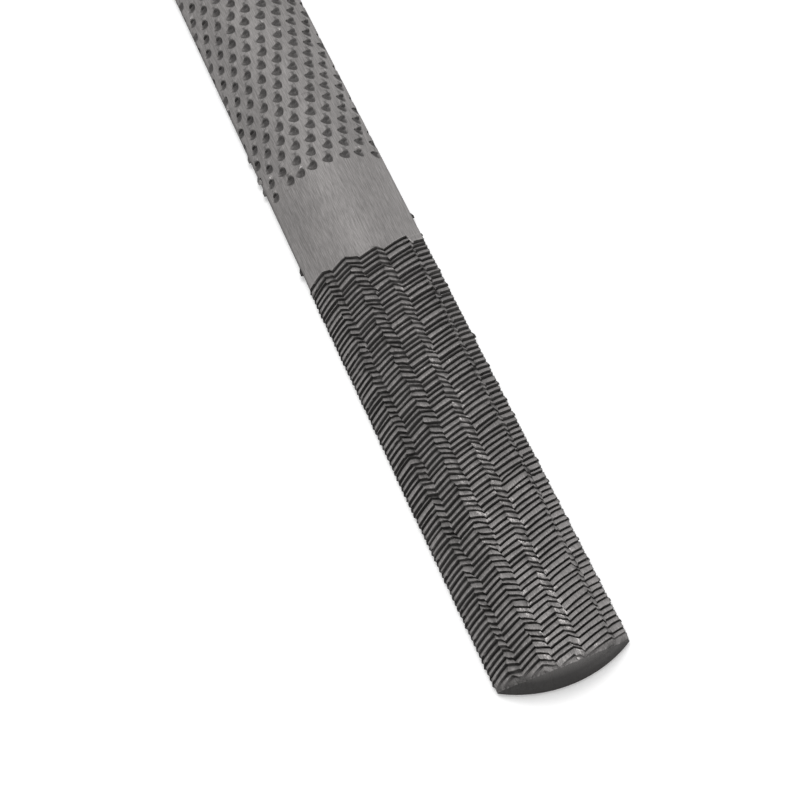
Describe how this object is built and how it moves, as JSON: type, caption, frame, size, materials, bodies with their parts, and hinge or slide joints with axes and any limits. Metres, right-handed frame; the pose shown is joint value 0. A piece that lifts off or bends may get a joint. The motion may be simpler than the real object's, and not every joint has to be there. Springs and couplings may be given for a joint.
{
  "type": "four-in-one rasp",
  "caption": "Half-round steel rasp bar with file teeth and rasp teeth at opposite ends of its round face and of its flat face, and a plain band for the hand between them.",
  "frame": {"origin": "under the middle of the bar, on the plane that the tips of the flat face's rasp teeth touch, which is 0.6 mm below the flat face", "axes": "+X runs along the bar towards the end whose round face is file cut and whose flat face is rasp cut, +Y goes across the bar, and +Z points from the flat face to the crown of the round face"},
  "size_m": [0.2, 0.022, 0.007],
  "materials": {
    "steel": "satin, brushed lengthwise on the plain band, bare cut metal on the teeth"
  },
  "bodies": {
    "root": {"rasp_bar": "steel"}
  },
  "joints": []
}
